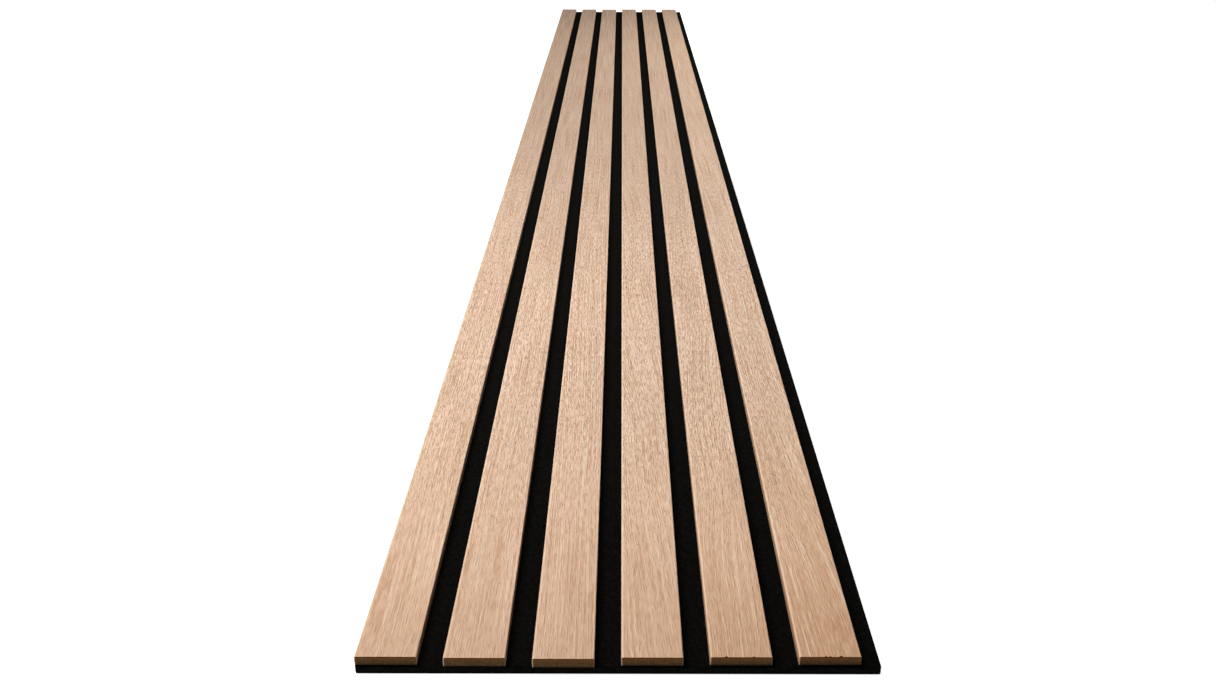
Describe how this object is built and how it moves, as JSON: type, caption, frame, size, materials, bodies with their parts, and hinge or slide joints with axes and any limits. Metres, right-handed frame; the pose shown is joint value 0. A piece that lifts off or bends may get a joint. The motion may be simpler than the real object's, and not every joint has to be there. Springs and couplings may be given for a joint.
{
  "type": "slatted acoustic wall panel",
  "caption": "Slatted acoustic wall panel: long oak-veneered slats with sawn brown ends, glued side by side on a black felt backing that damps sound.",
  "frame": {"origin": "centre of the felt's back face, the face that goes against the wall", "axes": "+Z out of the slats' faces, away from the wall; +Y along the slats, up the wall; +X across the slats, towards the edge where bare felt shows"},
  "size_m": [0.2964, 2.4, 0.011],
  "materials": {
    "felt": "dense needled felt board, near black, matt, with a faint mottle of lighter fibres",
    "mdf_core": "brown fibreboard, sawn at the ends, dull",
    "oak_veneer": "pale pinkish oak, straight grain with fine open pores, matt clear lacquer"
  },
  "bodies": {
    "root": {"felt_backing": "felt", "slat_1_core": "mdf_core", "slat_2_core": "mdf_core", "slat_3_core": "mdf_core", "slat_4_core": "mdf_core", "slat_5_core": "mdf_core", "slat_6_core": "mdf_core", "slat_1_veneer": "oak_veneer", "slat_2_veneer": "oak_veneer", "slat_3_veneer": "oak_veneer", "slat_4_veneer": "oak_veneer", "slat_5_veneer": "oak_veneer", "slat_6_veneer": "oak_veneer"}
  },
  "joints": []
}
